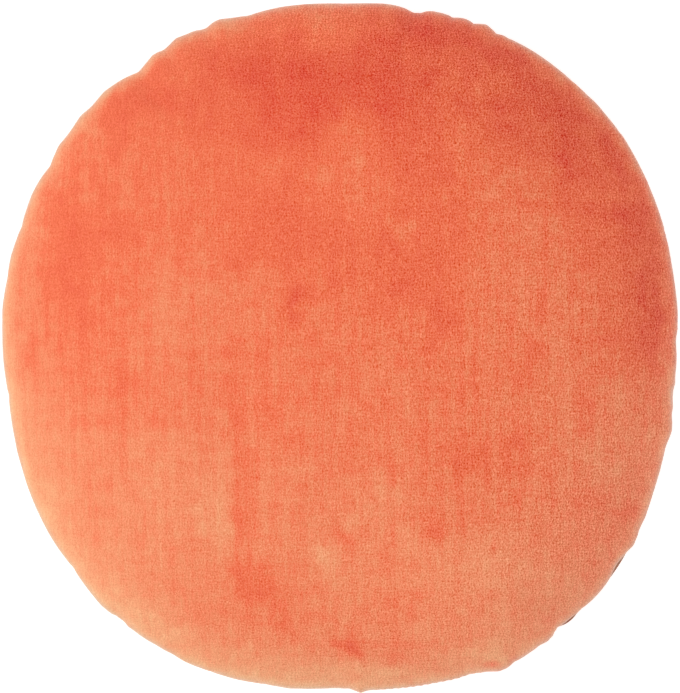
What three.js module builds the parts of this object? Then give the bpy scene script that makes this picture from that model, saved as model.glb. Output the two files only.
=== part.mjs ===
// A round velvet cushion that lies on its back. Millimetres, +Z up, and +Y is the top of its face.
// Two round panels meet in one plain seam round the rim, and their filling makes them one plump
// solid: a crowned face, lips that are drawn in and puckered at the seam, and an underside that is
// flat where the cushion rests.
import * as THREE from 'three';

// Driving dimensions
const WIDTH = 500; // along X
const LENGTH = 510; // along Y
const SEAM_HEIGHT = 66; // from the surface below to the seam
const CROWN_HEIGHT = 86; // from the seam to the middle of the face
const CROWN_FULLNESS = 2.4; // 2 is a plain dome, and more is flatter, with fuller shoulders
const REST_RADIUS = 125; // of the flat spot underneath

// The rim isn't a true circle: woven cloth gives most across its bias, and the filling is uneven.
// Each row adds evenly spaced lobes, which swell by that much, the first at that angle in degrees.
const MEAN_RADIUS = 255.6;
const LOBES = [
  { count: 2, swell: 3.0, at: 92 },
  { count: 3, swell: 1.6, at: 61 },
  { count: 4, swell: 4.2, at: 44.5 },
  { count: 5, swell: 1.2, at: 22 },
  { count: 6, swell: 0.6, at: 58 },
];

// The puckers of the rim, anticlockwise from +X: where each one lies, how far it swells out or, if
// negative, is drawn in, and half its width, in degrees and millimetres.
const PUCKERS = [
  { at: 1.5, swell: -1.5, half: 2.5 },
  { at: 6, swell: 0.8, half: 5 },
  { at: 22, swell: 0.4, half: 5 },
  { at: 36, swell: 0.5, half: 4 },
  { at: 48, swell: -0.8, half: 5 },
  { at: 58, swell: 0.4, half: 4 },
  { at: 66, swell: 2.2, half: 1.7 },
  { at: 69.5, swell: 1.3, half: 1.6 },
  { at: 73.5, swell: 1.0, half: 2 },
  { at: 78, swell: -3.2, half: 1.6 },
  { at: 83, swell: 0.8, half: 3 },
  { at: 89.5, swell: -0.6, half: 3 },
  { at: 100, swell: 0.6, half: 4 },
  { at: 105.5, swell: -0.8, half: 2 },
  { at: 110.5, swell: 2.5, half: 2.2 },
  { at: 115.5, swell: 1.3, half: 1.6 },
  { at: 118, swell: 1.9, half: 1.8 },
  { at: 121, swell: -1.0, half: 1.2 },
  { at: 126.5, swell: -4.0, half: 2.4 },
  { at: 133, swell: 1.2, half: 2 },
  { at: 138.5, swell: 1.5, half: 2 },
  { at: 144.5, swell: 1.1, half: 1.5 },
  { at: 148, swell: -1.5, half: 1.7 },
  { at: 153.5, swell: 0.9, half: 3 },
  { at: 159, swell: -0.7, half: 2 },
  { at: 164.5, swell: 0.8, half: 2.5 },
  { at: 172.5, swell: 0.8, half: 4 },
  { at: 188, swell: -1.5, half: 4 },
  { at: 197, swell: 0.7, half: 3 },
  { at: 206, swell: 1.1, half: 7 },
  { at: 219, swell: -1.4, half: 3 },
  { at: 227, swell: 1.0, half: 2.5 },
  { at: 231.5, swell: -1.2, half: 3 },
  { at: 245, swell: 0.6, half: 3 },
  { at: 252, swell: 1.1, half: 4 },
  { at: 261, swell: 1.1, half: 2.5 },
  { at: 269, swell: -1.5, half: 3 },
  { at: 273, swell: 1.3, half: 1.2 },
  { at: 286, swell: -0.5, half: 3 },
  { at: 291.5, swell: -1.3, half: 2 },
  { at: 296, swell: 3.8, half: 2.2 },
  { at: 300.5, swell: 1.4, half: 2 },
  { at: 305, swell: 1.0, half: 1 },
  { at: 307.5, swell: -2.9, half: 1.4 },
  { at: 312.5, swell: -1.8, half: 2 },
  { at: 326, swell: 1.7, half: 1.4 },
  { at: 331, swell: 0.8, half: 2 },
  { at: 346, swell: 2.1, half: 2.6 },
  { at: 353, swell: -0.6, half: 3 },
];
const PUCKER_REACH = 42; // how far the puckers run in over the panels
const PUCKER_SLANT = 7; // degrees that they lean by, from the seam to the underside

// The seam pulls the two lips in, and gathers both panels in small folds. They run further over
// the underside, because the face's lip bulges over the seam.
const SEAM_DRAW = 6; // depth of the groove between the lips
const SEAM_LIP = 7; // height of a lip beside the seam
const SEAM_WANDER = [ // how far the seam strays up and down, in lobes as above
  { count: 2, swell: 1.2, at: 25 },
  { count: 5, swell: 0.8, at: 18 },
];
const GATHERS = 45; // round the whole rim
const GATHER_DRIFT = [{ count: 3, swell: 50, at: 30 }]; // and how unevenly they are spaced
const GATHER_DEPTH = 1.4;
const GATHER_REACH_FACE = 7;
const GATHER_REACH_UNDER = 16;
const UNDER_INSET = 2.5; // the lip below the seam lies this much further in than the one above

// Shallow hollows in the face, where the filling has been pressed.
const HOLLOWS = [
  { x: -80, y: -80, reachX: 28, reachY: 110, depth: 2.5 },
  { x: 60, y: 40, reachX: 90, reachY: 50, depth: 2 },
  { x: -60, y: 150, reachX: 80, reachY: 35, depth: 2 },
  { x: 120, y: -90, reachX: 50, reachY: 60, depth: 2 },
];

// The rings of points that the surface is made of. A ring's turn is 0 at the middle of its panel
// and 90 at the seam, and it has that many points round it, each count the next one or half of it.
const RIM_POINTS = 180;
const RINGS = [
  { turn: 8, points: RIM_POINTS / 4 },
  { turn: 17, points: RIM_POINTS / 4 },
  { turn: 26, points: RIM_POINTS / 2 },
  { turn: 34, points: RIM_POINTS / 2 },
  { turn: 42, points: RIM_POINTS / 2 },
  { turn: 50, points: RIM_POINTS },
  { turn: 57, points: RIM_POINTS },
  { turn: 63, points: RIM_POINTS },
  { turn: 69, points: RIM_POINTS },
  { turn: 75, points: RIM_POINTS },
  { turn: 80, points: RIM_POINTS },
  { turn: 84, points: RIM_POINTS },
  { turn: 87, points: RIM_POINTS },
];
const SEAM_RING = { turn: 90, points: RIM_POINTS };
const REST_RING = { turn: 0, points: RIM_POINTS / 4 }; // the edge of the flat spot

const CORAL = 0xea7e5b;

const radians = THREE.MathUtils.degToRad;

// A bump is 1 in its middle and falls to nothing past its half width. Its power sets its form.
const SOFT = 2;
const CREASED = 1.5;

function bump(distance, half, power) {
  return Math.exp(-(Math.abs(distance / half) ** power));
}

// The way round from one angle to another, between -180 and 180 degrees.
function turnBetween(angle, other) {
  return THREE.MathUtils.euclideanModulo(angle - other + 180, 360) - 180;
}

function lobeSwell(lobes, angle) {
  let total = 0;
  for (const { count, swell, at } of lobes) {
    total += swell * Math.cos(radians(count * (angle - at)));
  }
  return total;
}

function puckerSwell(angle) {
  let total = 0;
  for (const { at, swell, half } of PUCKERS) {
    total += swell * bump(turnBetween(angle, at), half, CREASED);
  }
  return total;
}

// The height of the seam's gathers, from -1 in a fold to 1 between two folds.
function gatherWave(angle) {
  return Math.cos(radians(GATHERS * angle + lobeSwell(GATHER_DRIFT, angle)));
}

function hollowDepth(x, y) {
  let depth = 0;
  for (const hollow of HOLLOWS) {
    const away = Math.hypot((x - hollow.x) / hollow.reachX, (y - hollow.y) / hollow.reachY);
    depth += hollow.depth * bump(away, 1, SOFT);
  }
  return depth;
}

// The smooth section of the crown, and its outward direction, at a turn from middle to seam.
function crownSection(turn, radius) {
  const reach = Math.sin(turn) ** (2 / CROWN_FULLNESS);
  const rise = Math.cos(turn);
  const outward = new THREE.Vector2(
    (CROWN_FULLNESS / radius) * reach ** (CROWN_FULLNESS - 1),
    (2 / CROWN_HEIGHT) * rise,
  ).normalize();
  return { out: radius * reach, up: CROWN_HEIGHT * rise, outward };
}

// The section underneath: a quarter of an ellipse, from the flat spot to the seam.
function underSection(turn, radius) {
  const spread = radius - UNDER_INSET - REST_RADIUS;
  const reach = Math.sin(turn);
  const fall = Math.cos(turn);
  const outward = new THREE.Vector2(reach / spread, -fall / SEAM_HEIGHT).normalize();
  return { out: REST_RADIUS + spread * reach, up: -SEAM_HEIGHT * fall, outward };
}

// A point of the surface, with the puckers, the gathers and the drawn-in seam.
function surfacePoint(angle, turnDegrees, isUnder) {
  const turn = radians(turnDegrees);
  const radius = MEAN_RADIUS + lobeSwell(LOBES, angle);
  const section = isUnder ? underSection(turn, radius) : crownSection(turn, radius);
  const nearRim = Math.sin(turn); // nothing of the rim's unevenness reaches the middle
  const fromSeam = Math.hypot(radius - section.out, section.up);
  const slant = isUnder ? PUCKER_SLANT * (1 - turnDegrees / 90) : 0;
  const puckers = puckerSwell(angle + slant) * bump(fromSeam, PUCKER_REACH, SOFT);
  const gatherReach = isUnder ? GATHER_REACH_UNDER : GATHER_REACH_FACE;
  const gathers = GATHER_DEPTH * gatherWave(angle) * bump(fromSeam, gatherReach, SOFT);
  const swell = nearRim * (puckers + gathers);
  const draw = SEAM_DRAW * bump(section.up, SEAM_LIP, CREASED);
  const out = section.out + section.outward.x * swell - draw;
  const x = out * Math.cos(radians(angle));
  const y = out * Math.sin(radians(angle));
  const sag = isUnder ? 0 : hollowDepth(x, y) * Math.cos(turn);
  const seam = SEAM_HEIGHT + lobeSwell(SEAM_WANDER, angle) * nearRim;
  const up = section.up + section.outward.y * swell - sag;
  return [x, y, Math.max(seam + up, 0)];
}

// One ring of points, anticlockwise, as places in the list of all points.
function addRing(points, ring, isUnder) {
  const places = [];
  for (let step = 0; step < ring.points; step += 1) {
    places.push(points.length / 3);
    points.push(...surfacePoint((360 * step) / ring.points, ring.turn, isUnder));
  }
  return places;
}

// The triangles between two rings. The outer ring has as many points as the inner one, or twice
// as many. Seen from the side that they face, both rings run anticlockwise.
function stitchRings(inner, outer) {
  const triangles = [];
  const share = outer.length / inner.length;
  for (let step = 0; step < inner.length; step += 1) {
    const [near, nearNext] = [inner[step], inner[(step + 1) % inner.length]];
    const far = outer.slice(step * share, (step + 1) * share);
    far.push(outer[((step + 1) * share) % outer.length]);
    triangles.push([near, far[0], far[1]]);
    triangles.push([near, far[1], nearNext]);
    if (share === 2) {
      triangles.push([nearNext, far[1], far[2]]);
    }
  }
  return triangles;
}

// One panel, from its middle point out to the seam.
function panelTriangles(points, seamPlaces, isUnder) {
  const middle = points.length / 3;
  points.push(...(isUnder ? [0, 0, 0] : surfacePoint(0, 0, false)));
  const ringList = isUnder ? [REST_RING, ...RINGS] : RINGS;
  const rings = ringList.map((ring) => addRing(points, ring, isUnder));
  const triangles = rings[0].map((place, step) => (
    [middle, place, rings[0][(step + 1) % rings[0].length]]
  ));
  rings.push(seamPlaces);
  for (let band = 1; band < rings.length; band += 1) {
    triangles.push(...stitchRings(rings[band - 1], rings[band]));
  }
  return isUnder ? triangles.map(([a, b, c]) => [a, c, b]) : triangles;
}

// Stretches the outline to the stated width and length, and centres it over the origin.
function fitOutline(geometry) {
  geometry.computeBoundingBox();
  const { min, max } = geometry.boundingBox;
  geometry.translate(-(min.x + max.x) / 2, -(min.y + max.y) / 2, -min.z);
  geometry.scale(WIDTH / (max.x - min.x), LENGTH / (max.y - min.y), 1);
}

function cushionGeometry() {
  const points = [];
  const seamPlaces = addRing(points, SEAM_RING, false);
  const triangles = [
    ...panelTriangles(points, seamPlaces, false),
    ...panelTriangles(points, seamPlaces, true),
  ];
  const geometry = new THREE.BufferGeometry();
  geometry.setAttribute('position', new THREE.Float32BufferAttribute(points, 3));
  geometry.setIndex(triangles.flat());
  fitOutline(geometry);
  geometry.computeVertexNormals();
  return geometry;
}

const velvet = new THREE.MeshStandardMaterial({ color: CORAL, roughness: 0.9, metalness: 0 });

const cushion = new THREE.Mesh(cushionGeometry(), velvet);
cushion.name = 'cushion';

const part = new THREE.Group();
part.add(cushion);

export default part;
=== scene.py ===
"""A round coral velvet cushion that lies on its back, seen from straight above.

Two round panels are cut flat and sewn together at the rim, and the cloth simulation fills them,
which wrinkles the velvet. The rim is then drawn to its outline and the nap brushed into place,
with painted light, sheen and shade along the rim.
Sizes are in millimetres, as in the part, where no comment says metres.
"""
import math
from collections import namedtuple

import bpy
import numpy as np
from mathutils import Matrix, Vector


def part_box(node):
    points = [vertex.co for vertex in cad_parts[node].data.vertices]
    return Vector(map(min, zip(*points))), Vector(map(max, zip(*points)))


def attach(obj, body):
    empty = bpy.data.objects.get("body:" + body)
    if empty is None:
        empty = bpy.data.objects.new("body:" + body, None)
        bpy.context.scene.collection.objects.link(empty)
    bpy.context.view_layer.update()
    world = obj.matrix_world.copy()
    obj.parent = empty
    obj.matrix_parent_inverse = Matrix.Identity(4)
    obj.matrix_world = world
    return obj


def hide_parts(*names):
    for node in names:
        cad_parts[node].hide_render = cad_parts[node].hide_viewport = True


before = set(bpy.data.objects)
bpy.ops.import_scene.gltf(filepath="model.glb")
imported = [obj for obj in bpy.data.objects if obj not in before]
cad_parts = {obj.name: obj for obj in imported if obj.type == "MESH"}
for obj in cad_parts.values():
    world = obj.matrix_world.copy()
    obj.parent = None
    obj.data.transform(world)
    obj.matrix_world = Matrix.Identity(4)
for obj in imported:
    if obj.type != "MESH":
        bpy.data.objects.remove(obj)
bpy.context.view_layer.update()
MM = 0.001

# The cushion's form, the same as the solid's
SEAM_HEIGHT = 66
CROWN_HEIGHT = 86
CROWN_FULLNESS = 2.4
REST_RADIUS = 125
UNDER_INSET = 2.5
MEAN_RADIUS = 255.6
LOBES = (  # how many, how far they swell out, and the angle of the first
    (2, 3.0, 92),
    (3, 1.6, 61),
    (4, 4.2, 44.5),
    (5, 1.2, 22),
    (6, 0.6, 58),
)
PUCKERS = (  # angle, how far each swells out or is drawn in, and half its width in degrees
    (1.5, -1.5, 2.5),
    (6, 0.8, 5),
    (22, 0.4, 5),
    (36, 0.5, 4),
    (48, -0.8, 5),
    (58, 0.4, 4),
    (66, 2.2, 1.7),
    (69.5, 1.3, 1.6),
    (73.5, 1.0, 2),
    (78, -3.2, 1.6),
    (83, 0.8, 3),
    (89.5, -0.6, 3),
    (100, 0.6, 4),
    (105.5, -0.8, 2),
    (110.5, 2.5, 2.2),
    (115.5, 1.3, 1.6),
    (118, 1.9, 1.8),
    (121, -1.0, 1.2),
    (126.5, -4.0, 2.4),
    (133, 1.2, 2),
    (138.5, 1.5, 2),
    (144.5, 1.1, 1.5),
    (148, -1.5, 1.7),
    (153.5, 0.9, 3),
    (159, -0.7, 2),
    (164.5, 0.8, 2.5),
    (172.5, 0.8, 4),
    (188, -1.5, 4),
    (197, 0.7, 3),
    (206, 1.1, 7),
    (219, -1.4, 3),
    (227, 1.0, 2.5),
    (231.5, -1.2, 3),
    (245, 0.6, 3),
    (252, 1.1, 4),
    (261, 1.1, 2.5),
    (269, -1.5, 3),
    (273, 1.3, 1.2),
    (286, -0.5, 3),
    (291.5, -1.3, 2),
    (296, 3.8, 2.2),
    (300.5, 1.4, 2),
    (305, 1.0, 1),
    (307.5, -2.9, 1.4),
    (312.5, -1.8, 2),
    (326, 1.7, 1.4),
    (331, 0.8, 2),
    (346, 2.1, 2.6),
    (353, -0.6, 3),
)
PUCKER_REACH = 42  # how far a pucker runs inwards from the rim
SEAM_DRAW = 6  # how far the seam is drawn in
SEAM_LIP = 7  # and how far above and below it that is felt
SEAM_WANDER = ((2, 1.2, 25), (5, 0.8, 18))  # how the seam rises and falls, as in LOBES
HOLLOWS = (  # middle x and y, reach along x and y, and depth
    (-80, -80, 28, 110, 2.5),
    (60, 40, 90, 50, 2),
    (-60, 150, 80, 35, 2),
    (120, -90, 50, 60, 2),
)
CREASED = 1.5  # powers of the bumps: a sharp top, a soft one, and a flat one with firm sides
SOFT = 2
FIRM = 4

# The meshes of the panels, one for the cloth trial and a finer one to be seen
SEAM_ZONE = 22  # the width beside the seam that has finer rings of points
SECTION_STEPS = 2000  # in which a section's length is measured
# How many points a ring has and how far apart the rings are. Rings have half as many points where
# they lie inside each of the shares of a panel's length.
Layout = namedtuple("Layout", "rim_points face_step under_step seam_step coarser_inside")
TRIAL = Layout(360, 6, 8, 2.6, (0.5, 0.26, 0.13))
SHOWN = Layout(1080, 3.2, 6, 1.4, (0.92, 0.5, 0.26))

# The cloth
CUT_RADIUS = 279  # of each flat panel, at the seam
CUT_APART = 0.5  # how far each flat panel lies from the seam's level
CLOTH = {  # the simulation's settings
    "quality": 5,
    "mass": 0.3,
    "tension_stiffness": 30,
    "compression_stiffness": 10,
    "shear_stiffness": 5,
    "bending_stiffness": 0.5,
    "use_pressure": True,
    "uniform_pressure_force": 3,
}
FRAMES = 14
WRINKLE_CAP = 5  # the most that a wrinkle moves the cloth
NO_DEPTH = 1e-6  # in place of 0, where a number is divided by the depth
FORM_ROUNDS = 120  # of smoothing, which leave the filled form without its wrinkles
FACE_WRINKLES = 0.35  # the share of the wrinkles that shows on the face, away from the seam
FACE_WRINKLE_REACH = 9  # from the seam, where they show in full

# The outline
OUTLINE_ROUNDS = 2  # of fitting
FIT_FROM = 0.8  # the share of the radius past which the rim is fitted
FIT_FULLY = 0.95  # and from where it is fitted in full
NICKS = (  # small notches and bumps that only the cloth has, as in PUCKERS
    (76.9, -0.8, 0.45),
    (75.2, 0.6, 1.0),
    (71.6, -0.75, 0.5),
    (70.2, 0.3, 0.8),
    (68.0, -1.1, 0.5),
    (66.2, 0.5, 0.8),
    (64.0, -0.9, 0.7),
    (122, 0.6, 1.0),
    (113, -0.5, 0.8),
    (136, -0.4, 1.5),
    (241, -0.7, 1.5),
    (271, -0.8, 0.7),
    (273, 0.9, 0.6),
    (297.8, 0.8, 0.7),
    (196, -0.5, 3),
    (212, 0.4, 5),
    (3.2, 0.4, 0.7),
    (44, 0.4, 1.6),
    (62.8, 0.5, 0.7),
    (111.5, 0.6, 1.0),
    (118.5, 0.6, 1.0),
    (123, 0.7, 0.8),
    (158.5, 0.4, 1.0),
    (168, -0.4, 1.8),
    (229.8, -0.7, 0.6),
    (232.3, 0.9, 0.9),
    (238, -0.7, 2.0),
    (294.2, -0.6, 1.2),
    (297.1, 0.7, 0.7),
    (299.3, 0.5, 0.7),
    (302.6, 0.8, 0.9),
    (306.2, 0.9, 0.6),
    (324.5, -0.5, 0.7),
    (327.6, 0.6, 0.8),
    (341.8, 0.5, 2.2),
    (350, 0.8, 1.1),
    (354.1, 0.9, 1.0),
)
PRICKS = (284, 9, 1.25, 0.45)  # of stitches: the stretch's middle and half width, spacing, depth
PRICK_NARROWNESS = 3  # the higher, the narrower each prick
SLIVERS = (  # where the back panel shows past the front one: angle, width, half length in degrees
    (321.8, 2.0, 2.0),
    (309.9, 1.7, 1.6),
)
SLIVER_REACH = 14  # from the seam, along the back panel
SLIVER_SPREAD = 3  # how many half lengths of the back panel are drawn out
LIMB_RISE = 6  # how far above the seam the front panel's outline is, seen from above
LEAST_REACH = 1  # in place of less, where a number is divided by the reach
GRID = np.arange(0, 360, 0.25)  # the angles at which the rim is measured

# The velvet
NAP_MARKS = (  # middle x and y, reach along x and y, turn in degrees, strength and edge
    # broad places, darker towards the top and lighter towards the bottom
    (0, 225, 170, 45, 0, -0.45, SOFT),
    (-110, -115, 110, 70, 0, 0.45, SOFT),
    (-215, -80, 30, 70, 10, 0.25, SOFT),
    (-165, -185, 50, 22, -38, 0.35, SOFT),
    (100, -165, 100, 60, 0, 0.5, SOFT),
    (20, -244, 120, 22, 0, 0.4, SOFT),
    (125, 50, 40, 75, 0, 0.15, SOFT),
    (-120, 20, 45, 40, 0, 0.12, SOFT),
    (0, -20, 90, 60, 0, 0.08, SOFT),
    # the dark band across the top, and its light spots
    (-40, 178, 30, 34, 0, -0.85, FIRM),
    (-85, 190, 26, 40, 0, -0.45, FIRM),
    (-97, 208, 6, 16, 0, -0.35, SOFT),
    (-98, 164, 8, 5, 0, -0.35, SOFT),
    (-116, 186, 9, 18, 0, -0.4, SOFT),
    (-128, 202, 10, 9, 0, -0.35, SOFT),
    (-64, 172, 5, 14, 0, 0.25, SOFT),
    (-77, 162, 6, 9, 0, -0.3, SOFT),
    (-62, 197, 12, 6, 0, -0.25, SOFT),
    (-60, 148, 7, 5, 0, -0.25, SOFT),
    (-124, 179, 6, 6, 0, -0.35, SOFT),
    (-119, 200, 11, 9, 0, 0.4, SOFT),
    (-100, 221, 6, 13, 0, 0.3, SOFT),
    (-50, 216, 14, 12, 0, -0.3, SOFT),
    (-34, 230, 7, 8, 0, -0.6, SOFT),
    (-30, 208, 8, 10, 0, -0.4, SOFT),
    (-8, 190, 20, 20, 0, -0.6, FIRM),
    (30, 192, 22, 22, 0, -0.8, FIRM),
    (15, 214, 32, 9, 0, -0.4, SOFT),
    (35, 226, 18, 7, 0, -0.8, SOFT),
    (60, 228, 12, 14, 0, -0.3, SOFT),
    (-12, 233, 12, 15, 0, 0.4, FIRM),
    (-38, 241, 9, 6, 0, 0.3, SOFT),
    (-21, 218, 6, 8, 0, 0.35, SOFT),
    (6, 236, 9, 12, 0, 0.25, SOFT),
    (22, 243, 5, 10, 0, -0.45, SOFT),
    (36, 164, 12, 16, 0, -0.7, SOFT),
    (29, 172, 8, 6, 0, -0.35, SOFT),
    (42, 140, 12, 24, 0, -0.35, SOFT),
    (65, 129, 18, 16, 0, -0.45, FIRM),
    (76, 122, 5, 8, 0, -0.3, SOFT),
    (8, 160, 12, 10, 0, 0.2, SOFT),
    (-33, 152, 17, 9, 0, -0.5, SOFT),
    (-9, 170, 8, 9, 0, -0.6, SOFT),
    (-50, 176, 6, 9, 0, -0.3, SOFT),
    (-50, 137, 9, 10, 0, 0.2, SOFT),
    (61, 199, 9, 8, 0, -0.85, SOFT),
    # the dark edge along the upper right, and the right side
    (70, 235, 34, 11, -12, -0.85, FIRM),
    (99, 232, 12, 7, -35, 0.4, SOFT),
    (114, 216, 26, 9, -30, -0.7, FIRM),
    (120, 204, 15, 8, 0, 0.3, SOFT),
    (138, 213, 10, 5, -40, 0.4, SOFT),
    (146, 193, 28, 11, -40, -0.7, FIRM),
    (160, 182, 13, 8, -30, 0.3, SOFT),
    (95, 202, 34, 16, 0, -0.35, SOFT),
    (105, 189, 12, 9, 0, 0.25, SOFT),
    (72, 188, 12, 12, 0, 0.3, SOFT),
    (110, 177, 10, 5, 0, -0.35, SOFT),
    (62, 168, 16, 22, 0, -0.55, FIRM),
    (88, 174, 14, 9, 0, -0.35, SOFT),
    (66, 222, 10, 8, 0, -0.35, SOFT),
    (120, 150, 60, 20, 0, -0.15, SOFT),
    (122, 179, 26, 10, 0, -0.7, FIRM),
    (124, 161, 20, 9, 0, -0.7, SOFT),
    (162, 168, 22, 13, -45, -0.95, FIRM),
    (146, 168, 8, 6, 0, -0.3, SOFT),
    (200, 142, 22, 9, -58, -1.0, FIRM),
    (211, 135, 14, 4, -60, -0.4, SOFT),
    (187, 158, 12, 8, -20, 0.7, SOFT),
    (190, 142, 8, 7, 0, 0.35, SOFT),
    (174, 138, 19, 15, 0, -0.75, FIRM),
    (163, 137, 8, 9, 0, -0.4, SOFT),
    (150, 150, 16, 9, 0, -0.45, SOFT),
    (196, 119, 30, 8, 0, -0.5, SOFT),
    (163, 116, 8, 22, 0, -0.4, SOFT),
    (217, 94, 18, 13, -68, -0.8, FIRM),
    (194, 98, 20, 6, 0, -0.55, SOFT),
    (210, 74, 12, 9, 0, -0.3, SOFT),
    (200, 74, 24, 18, 0, -0.3, SOFT),
    (226, 56, 7, 24, 8, -0.6, SOFT),
    (218, 40, 8, 16, 0, -0.4, SOFT),
    (185, 102, 18, 14, 0, -0.25, SOFT),
    (227, 22, 8, 36, 2, -0.95, FIRM),
    (240, -20, 6, 24, 8, 0.5, SOFT),
    (215, 14, 13, 28, 0, -0.35, SOFT),
    (183, 63, 6, 5, 0, -0.35, SOFT),
    (200, 10, 20, 3, 5, -0.25, SOFT),
    # the middle
    (-44, 85, 34, 26, 0, -0.42, FIRM),
    (-70, 128, 26, 18, 0, -0.25, SOFT),
    (-36, 122, 9, 16, 0, -0.25, SOFT),
    (55, 95, 28, 18, 0, -0.3, SOFT),
    (-30, 36, 9, 9, 0, -0.25, SOFT),
    (68, 18, 8, 18, 0, -0.25, SOFT),
    (25, 30, 12, 14, 0, -0.25, SOFT),
    (-72, 62, 7, 7, 0, -0.3, SOFT),
    (0, 76, 16, 16, 0, -0.3, SOFT),
    (0, 51, 18, 6, 0, -0.4, SOFT),
    (27, 56, 8, 8, 0, 0.3, SOFT),
    (30, 62, 26, 20, 0, -0.35, SOFT),
    (37, 76, 6, 9, 0, -0.35, SOFT),
    (48, 89, 12, 8, 0, 0.5, SOFT),
    (44, 44, 12, 7, 0, -0.7, SOFT),
    (32, 42, 6, 5, 0, 0.35, SOFT),
    (68, 60, 18, 20, 0, -0.35, SOFT),
    (84, 92, 8, 26, 0, -0.4, SOFT),
    (70, 33, 16, 12, 0, -0.3, SOFT),
    (78, 18, 9, 8, 0, -0.5, SOFT),
    (-33, 37, 5, 8, 0, -0.65, SOFT),
    (-32, 22, 6, 5, 0, -0.65, SOFT),
    (-20, 38, 6, 7, 0, -0.3, SOFT),
    (-12, -12, 9, 5, 0, -0.35, SOFT),
    (45, -10, 3, 10, 0, -0.35, SOFT),
    (68, -2, 5, 6, 0, -0.45, SOFT),
    (135, -4, 9, 6, 0, -0.35, SOFT),
    (131, -18, 8, 4, 0, -0.3, SOFT),
    # the left side
    (-206, 80, 15, 48, 0, -0.45, FIRM),
    (-216, 70, 9, 26, -10, 0.15, SOFT),
    (-186, 84, 14, 24, 0, -0.3, SOFT),
    (-188, 132, 16, 26, 30, -0.3, SOFT),
    (-201, 108, 5, 10, 0, -0.4, SOFT),
    (-160, 84, 24, 9, 0, -0.4, SOFT),
    (-192, 45, 14, 12, 0, -0.35, SOFT),
    (-186, 20, 9, 11, 0, -0.35, SOFT),
    (-230, 0, 5, 22, 0, -0.4, SOFT),
    (-155, -27, 9, 9, 0, -0.35, SOFT),
    (-130, 24, 12, 28, 0, 0.2, SOFT),
    (-152, 180, 28, 15, 38, -0.65, FIRM),
    (-143, 208, 16, 5, 40, 0.6, SOFT),
    (-163, 145, 5, 8, 0, -0.4, SOFT),
    (-125, 182, 5, 7, 0, -0.4, SOFT),
    (-185, 112, 6, 12, 0, 0.25, SOFT),
    # the long stroke left of the middle, and the lower left
    (-84, -4, 5, 4, 0, -0.4, SOFT),
    (-77, -26, 5, 11, 0, -0.35, SOFT),
    (-79, -58, 6, 14, 0, -0.35, SOFT),
    (-69, -110, 10, 40, 0, -0.35, FIRM),
    (-150, -97, 7, 10, 0, -0.25, SOFT),
    (-92, -122, 12, 26, 0, 0.3, FIRM),
    (-73, -161, 4, 7, 0, -0.5, SOFT),
    (-65, -168, 14, 15, 0, -0.4, FIRM),
    (-105, -145, 12, 10, 0, -0.2, SOFT),
    (-208, -115, 9, 12, 0, 0.25, SOFT),
    (-150, -195, 9, 11, 0, 0.3, SOFT),
    (-124, -190, 16, 12, 0, 0.2, SOFT),
    (-60, -179, 9, 6, 0, -0.3, SOFT),
    (-45, -192, 5, 5, 0, -0.4, SOFT),
    (-35, -210, 14, 12, 0, -0.25, SOFT),
    (-30, -70, 11, 10, 0, -0.25, SOFT),
    (-140, -96, 18, 26, 0, 0.2, SOFT),
    (-127, -219, 8, 5, 0, -0.3, SOFT),
    # the lower right
    (100, -80, 18, 11, 0, -0.4, SOFT),
    (88, -84, 6, 7, 0, -0.25, SOFT),
    (132, -66, 9, 6, 0, -0.25, SOFT),
    (183, -42, 5, 5, 0, -0.45, SOFT),
    (70, -134, 7, 6, 0, -0.5, SOFT),
    (4, -138, 7, 6, 0, -0.4, SOFT),
    (40, -118, 6, 5, 0, -0.3, SOFT),
    (210, -123, 9, 4, 20, -0.35, SOFT),
    (188, -108, 14, 9, 0, -0.2, SOFT),
    (195, -82, 26, 19, 0, 0.4, SOFT),
    (231, -70, 10, 24, -10, 0.25, SOFT),
    (165, -178, 26, 14, -35, 0.2, SOFT),
    (172, -72, 8, 7, 0, 0.2, SOFT),
    (208, -42, 15, 22, 0, 0.35, SOFT),
    (30, -108, 17, 14, 0, 0.3, SOFT),
    (10, -127, 9, 8, 0, 0.35, SOFT),
    (-8, -154, 8, 11, 0, 0.75, SOFT),
    (2, -182, 16, 22, 0, 0.2, SOFT),
    (-16, -148, 4, 4, 0, 0.3, SOFT),
    (108, -162, 22, 14, 0, 0.2, SOFT),
    (132, -208, 20, 16, 0, 0.2, SOFT),
    (60, -208, 14, 8, 0, 0.25, SOFT),
    (40, -186, 32, 8, 0, -0.2, SOFT),
    (10, -223, 9, 6, 0, -1.1, SOFT),
    (-2, -219, 8, 4, 0, -0.5, SOFT),
    (40, -226, 11, 8, 0, -0.35, SOFT),
    (110, -224, 18, 9, 0, 0.4, SOFT),
    (112, -237, 4, 3, 0, -0.5, SOFT),
    (52, -246, 6, 3, 0, -0.4, SOFT),
    (128, -229, 6, 6, 0, -0.5, SOFT),
)
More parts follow.
